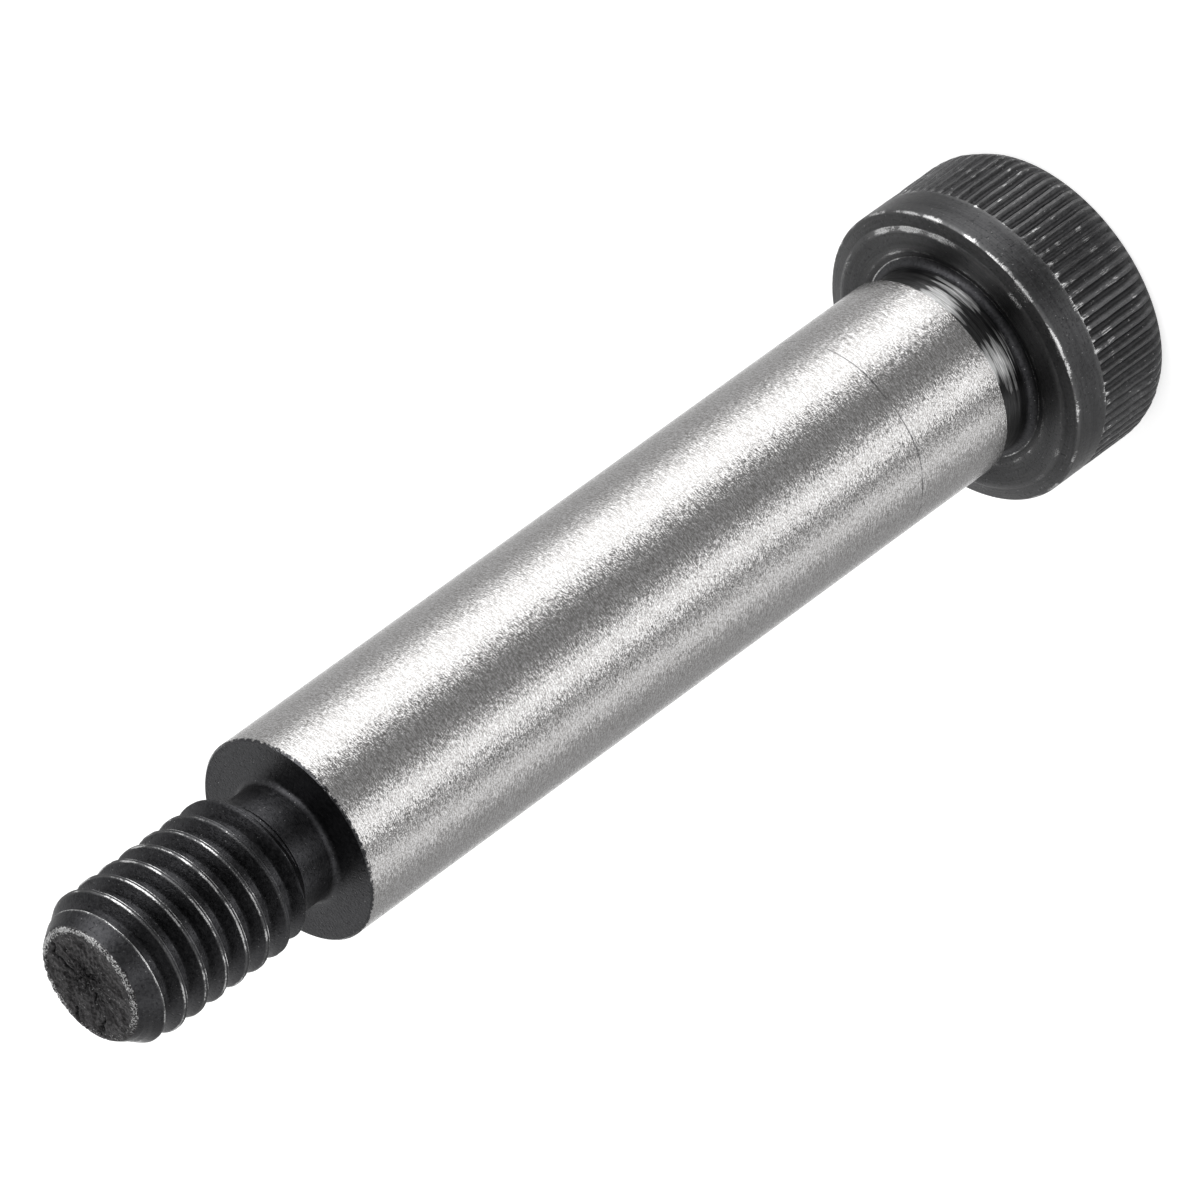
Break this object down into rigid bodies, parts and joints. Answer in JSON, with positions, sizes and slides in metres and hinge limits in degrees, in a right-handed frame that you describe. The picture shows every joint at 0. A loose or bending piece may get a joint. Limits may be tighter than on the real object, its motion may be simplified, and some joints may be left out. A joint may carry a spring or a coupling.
{
  "type": "socket head shoulder bolt",
  "caption": "Shoulder bolt: knurled cylindrical head with a hexagon socket, ground shoulder for a pivot or guide, and a short right-hand thread beyond a neck.",
  "frame": {"origin": "centre of the head's flat outer face, on which the bolt stands and in which the socket opens", "axes": "+Z along the bolt's axis from the head through the shoulder to the thread's tip; the socket's flats face +Y and -Y"},
  "size_m": [0.0186, 0.0186, 0.0773],
  "materials": {
    "ground_alloy_steel": "hardened alloy steel, shoulder ground bright, head and thread black oxide",
    "black_oxide_steel": "black oxide over turned, knurled and rolled steel"
  },
  "bodies": {
    "root": {"shoulder_bolt": "ground_alloy_steel"}
  },
  "joints": []
}
